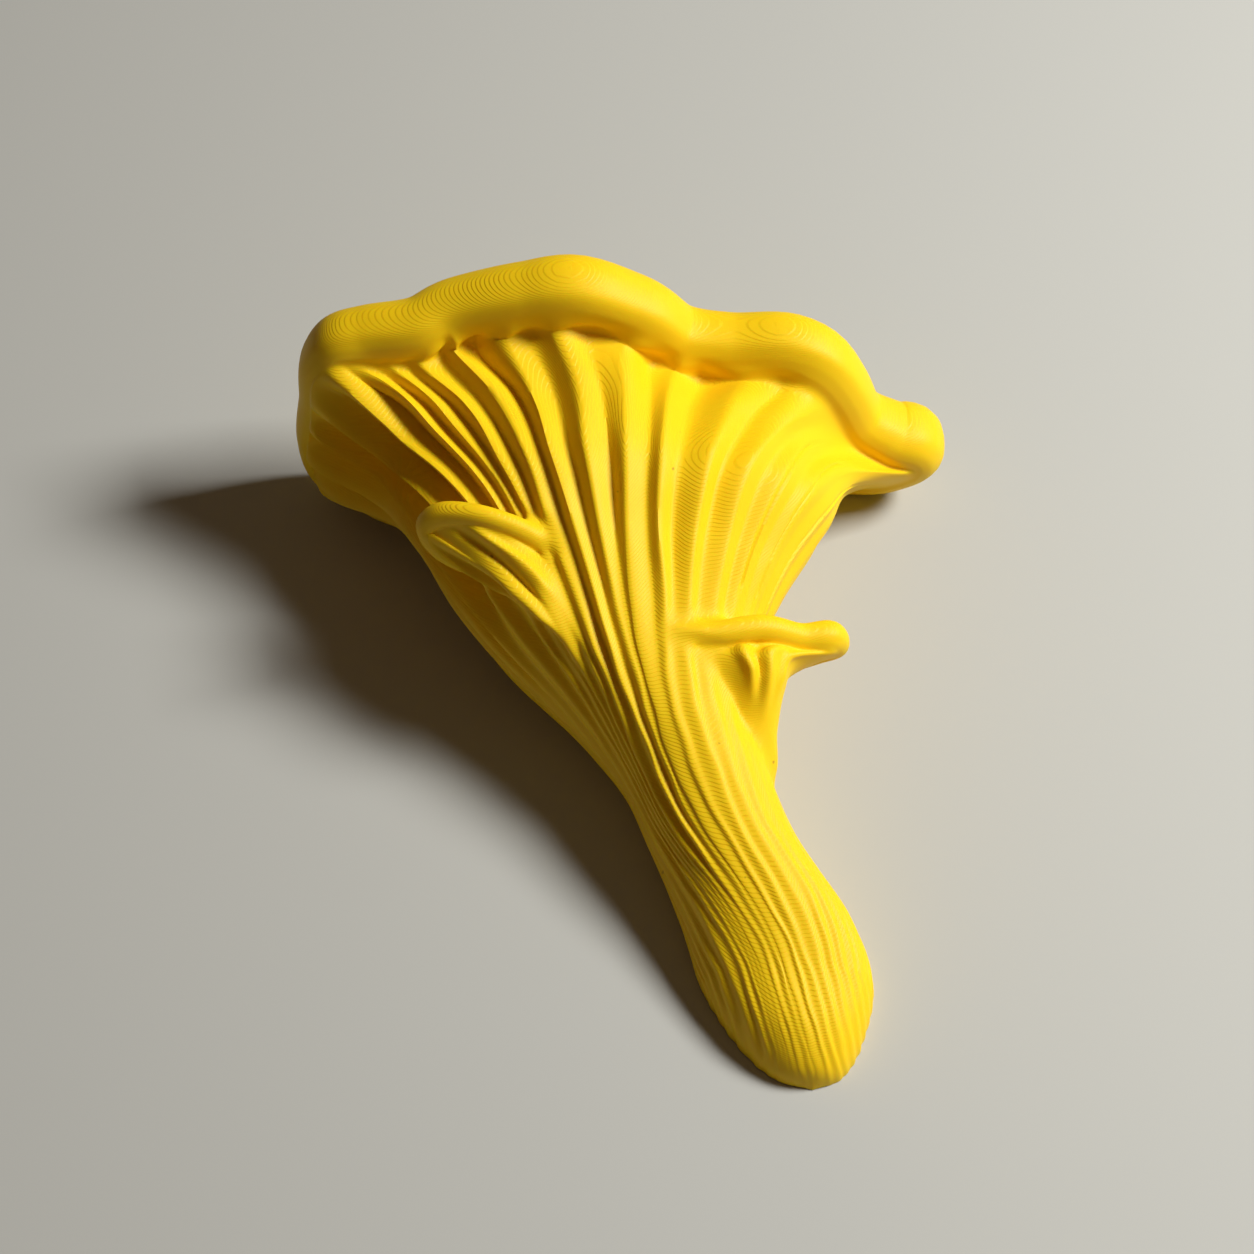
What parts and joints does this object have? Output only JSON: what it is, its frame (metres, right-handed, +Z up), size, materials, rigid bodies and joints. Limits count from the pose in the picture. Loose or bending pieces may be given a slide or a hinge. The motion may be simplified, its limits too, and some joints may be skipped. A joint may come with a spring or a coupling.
{
  "type": "printed oyster mushroom model",
  "caption": "Oyster mushroom figure printed in yellow plastic, lying on its flat back: round foot, ribbed stem, small side fronds and a gilled fan with a thick rolled wavy rim.",
  "frame": {"origin": "middle of the footprint, on the surface that the flat back rests on", "axes": "+Y from the foot to the cap, +X to the right as seen from the foot, +Z up from the flat back"},
  "size_m": [0.088, 0.0988, 0.0428],
  "materials": {
    "yellow_plastic": "satin with fine print layers"
  },
  "bodies": {
    "root": {"oyster_mushroom": "yellow_plastic"}
  },
  "joints": []
}
